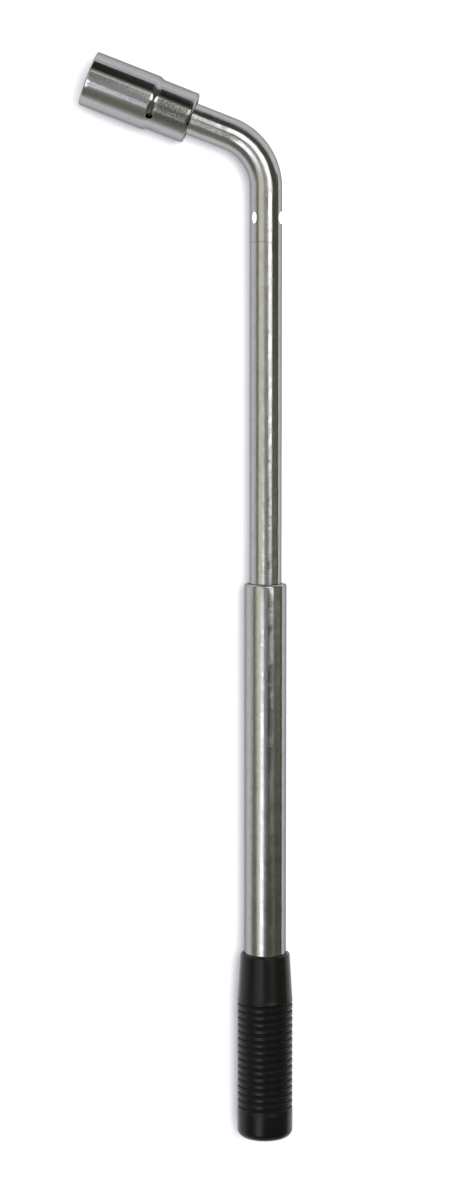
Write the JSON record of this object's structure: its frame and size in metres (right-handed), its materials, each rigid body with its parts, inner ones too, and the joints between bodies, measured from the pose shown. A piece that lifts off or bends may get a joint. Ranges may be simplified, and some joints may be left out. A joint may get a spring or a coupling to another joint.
{
  "type": "telescopic lug wrench",
  "caption": "Telescopic L-shaped lug wrench: chromed bent bar with square drive, reversible double-ended hex socket, extending tube handle and ribbed rubber grip.",
  "frame": {"origin": "centre of the large hexagon's mouth, on the plane of the socket's large rim", "axes": "-Y along the handle from the bend to the grip, the socket arm in the XY plane with its mouth facing -X and 21.25 degrees towards +Y, +Z square to both centre lines, up as the wrench lies on its side"},
  "size_m": [0.1033, 0.5305, 0.0274],
  "materials": {
    "bar_chrome": "polished chrome plate over drawn bar",
    "socket_chrome": "satin-bright chrome plate over forging",
    "tube_chrome": "polished chrome plate over drawn tube",
    "grip_rubber": "moulded black, satin",
    "ball_steel": "hardened and ground",
    "spring_steel": "drawn spring wire",
    "plain_steel": "zinc plated",
    "bush_plastic": "natural nylon"
  },
  "bodies": {
    "bar": {"l_bar": "bar_chrome", "drive_spring": "spring_steel", "catch_spring": "spring_steel", "retaining_washer": "plain_steel", "retaining_clip": "spring_steel"},
    "socket": {"socket": "socket_chrome"},
    "drive_ball": {"drive_ball": "ball_steel"},
    "bush": {"guide_bush": "bush_plastic"},
    "handle": {"outer_tube": "tube_chrome", "grip": "grip_rubber"},
    "catch_left": {"catch_ball_left": "ball_steel"},
    "catch_right": {"catch_ball_right": "ball_steel"}
  },
  "joints": [
    {"name": "handle_turn", "type": "hinge", "parent": "bar", "child": "bush", "pos_m": [0.085, -0.30755, 0], "axis": [0, 1, 0], "continuous": true},
    {"name": "telescope", "type": "slide", "parent": "bush", "child": "handle", "axis": [0, 1, 0], "range_m": [0, 0.173]},
    {"name": "socket_pull", "type": "slide", "parent": "bar", "child": "socket", "axis": [-0.932, 0.3624, 0], "range_m": [0, 0.028]},
    {"name": "drive_ball_press", "type": "slide", "parent": "bar", "child": "drive_ball", "axis": [-0.1921, -0.4939, 0.848], "range_m": [0, 0.0006], "stiffness_N_per_m": 400, "springref_m": 0.004},
    {"name": "catch_left_press", "type": "slide", "parent": "bar", "child": "catch_left", "axis": [-1, 0, 0], "range_m": [0, 0.0009], "stiffness_N_per_m": 400, "springref_m": 0.004},
    {"name": "catch_right_press", "type": "slide", "parent": "bar", "child": "catch_right", "axis": [1, 0, 0], "range_m": [0, 0.0009]}
  ],
  "couplings": [
    {"joint": "catch_right_press", "follows": "catch_left_press", "ratio": 1}
  ]
}
